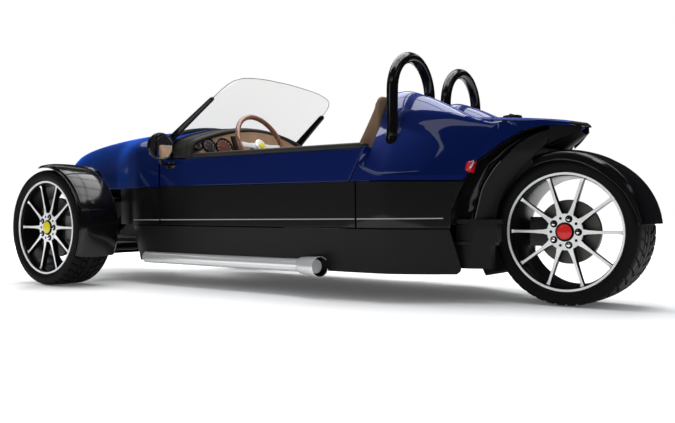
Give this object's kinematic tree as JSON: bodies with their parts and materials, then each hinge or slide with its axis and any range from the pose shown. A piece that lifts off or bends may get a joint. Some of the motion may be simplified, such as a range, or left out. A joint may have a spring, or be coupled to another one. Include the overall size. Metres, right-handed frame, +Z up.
{
  "type": "three-wheeled car",
  "caption": "Open two-seat three-wheeled car with two steered front wheels, one rear wheel, side doors, raked windshield and roll hoops.",
  "frame": {"origin": "on the ground under the middle of the overall length and width", "axes": "+X the car's left, +Y its rear, +Z up"},
  "size_m": [1.749, 3.66, 1.114],
  "materials": {
    "blue_paint": "deep metallic blue clear coat",
    "black_paint": "gloss black paint",
    "black_pad": "satin black padded trim",
    "tan_leather": "tan leather",
    "black_metal": "gloss black powder coat",
    "black_plastic": "matt black",
    "engine_iron": "plain cast block",
    "chrome": "polished",
    "glass": "clear laminated glass",
    "lamp_glass": "clear lens",
    "red_lens": "red lens",
    "tyre": "black rubber with a road tread",
    "wheel_alloy": "machined spoke faces over gloss black",
    "disc_steel": "ground steel",
    "wood": "varnished brown wood",
    "brushed_steel": "brushed"
  },
  "bodies": {
    "body": {"arch_panels": "black_paint", "bulkhead": "black_plastic", "cowl_pad": "black_pad", "dampers": "black_metal", "dash_panel": "tan_leather", "engine_block": "engine_iron", "exhaust_pipes": "chrome", "firewall": "black_plastic", "floor_tub": "black_plastic", "front_frame": "black_metal", "fuel_cap": "black_metal", "grille": "black_plastic", "headlamp_lenses": "lamp_glass", "headlamps": "black_metal", "hood_shell": "blue_paint", "nose_lower": "black_paint", "rear_body": "blue_paint", "rear_fender": "black_paint", "rear_frame": "black_metal", "rear_undertray": "black_paint", "roll_hoops": "black_metal", "seat_backs": "tan_leather", "seat_cushions": "tan_leather", "side_panels": "black_paint", "sill_panels": "black_paint", "steering_column": "black_metal", "swing_arm": "black_metal", "tail_lamps": "red_lens", "windshield": "glass", "windshield_posts": "black_metal", "wishbones": "black_metal"},
    "wheel_front_left": {"tyre_front_left": "tyre", "rim_front_left": "wheel_alloy", "brake_disc_front_left": "disc_steel"},
    "wheel_front_right": {"tyre_front_right": "tyre", "rim_front_right": "wheel_alloy", "brake_disc_front_right": "disc_steel"},
    "wheel_rear": {"tyre_rear": "tyre", "rim_rear": "wheel_alloy", "brake_disc_rear": "disc_steel"},
    "knuckle_left": {"knuckle_left": "black_metal", "front_fender_left": "black_paint"},
    "knuckle_right": {"knuckle_right": "black_metal", "front_fender_right": "black_paint"},
    "door_left": {"door_left": "black_paint", "door_trim_left": "black_pad", "mirror_left": "black_metal"},
    "door_right": {"door_right": "black_paint", "door_trim_right": "black_pad", "mirror_right": "black_metal"},
    "steering_wheel": {"steering_rim": "wood", "steering_spokes": "brushed_steel"},
    "rack": {"steering_rack": "black_metal"}
  },
  "joints": [
    {"name": "steer_left", "type": "hinge", "parent": "body", "child": "knuckle_left", "pos_m": [0.705, -1.06, 0.307], "axis": [0, 0, 1], "range_deg": [-20, 20]},
    {"name": "steer_right", "type": "hinge", "parent": "body", "child": "knuckle_right", "pos_m": [-0.705, -1.06, 0.307], "axis": [0, 0, 1], "range_deg": [-20, 20]},
    {"name": "rack_slide", "type": "slide", "parent": "body", "child": "rack", "axis": [1, 0, 0], "range_m": [-0.047, 0.047]},
    {"name": "steering_wheel_turn", "type": "hinge", "parent": "body", "child": "steering_wheel", "pos_m": [0.245, -0.083, 0.733], "axis": [0, 0.9239, 0.3827], "range_deg": [-241, 241]},
    {"name": "spin_front_left", "type": "hinge", "parent": "knuckle_left", "child": "wheel_front_left", "pos_m": [0.762, -1.06, 0.307], "axis": [1, 0, 0], "continuous": true},
    {"name": "spin_front_right", "type": "hinge", "parent": "knuckle_right", "child": "wheel_front_right", "pos_m": [-0.762, -1.06, 0.307], "axis": [1, 0, 0], "continuous": true},
    {"name": "spin_rear", "type": "hinge", "parent": "body", "child": "wheel_rear", "pos_m": [0, 1.468, 0.307], "axis": [1, 0, 0], "continuous": true},
    {"name": "door_left_hinge", "type": "hinge", "parent": "body", "child": "door_left", "pos_m": [0.522, -0.556, 0.49], "axis": [0, 0, 1], "range_deg": [-60, 0]},
    {"name": "door_right_hinge", "type": "hinge", "parent": "body", "child": "door_right", "pos_m": [-0.522, -0.556, 0.49], "axis": [0, 0, 1], "range_deg": [0, 60]}
  ],
  "couplings": [
    {"joint": "steer_right", "follows": "steer_left", "ratio": 1},
    {"joint": "rack_slide", "follows": "steer_left", "m_per_rad": -0.12738},
    {"joint": "steering_wheel_turn", "follows": "steer_left", "ratio": 12}
  ]
}
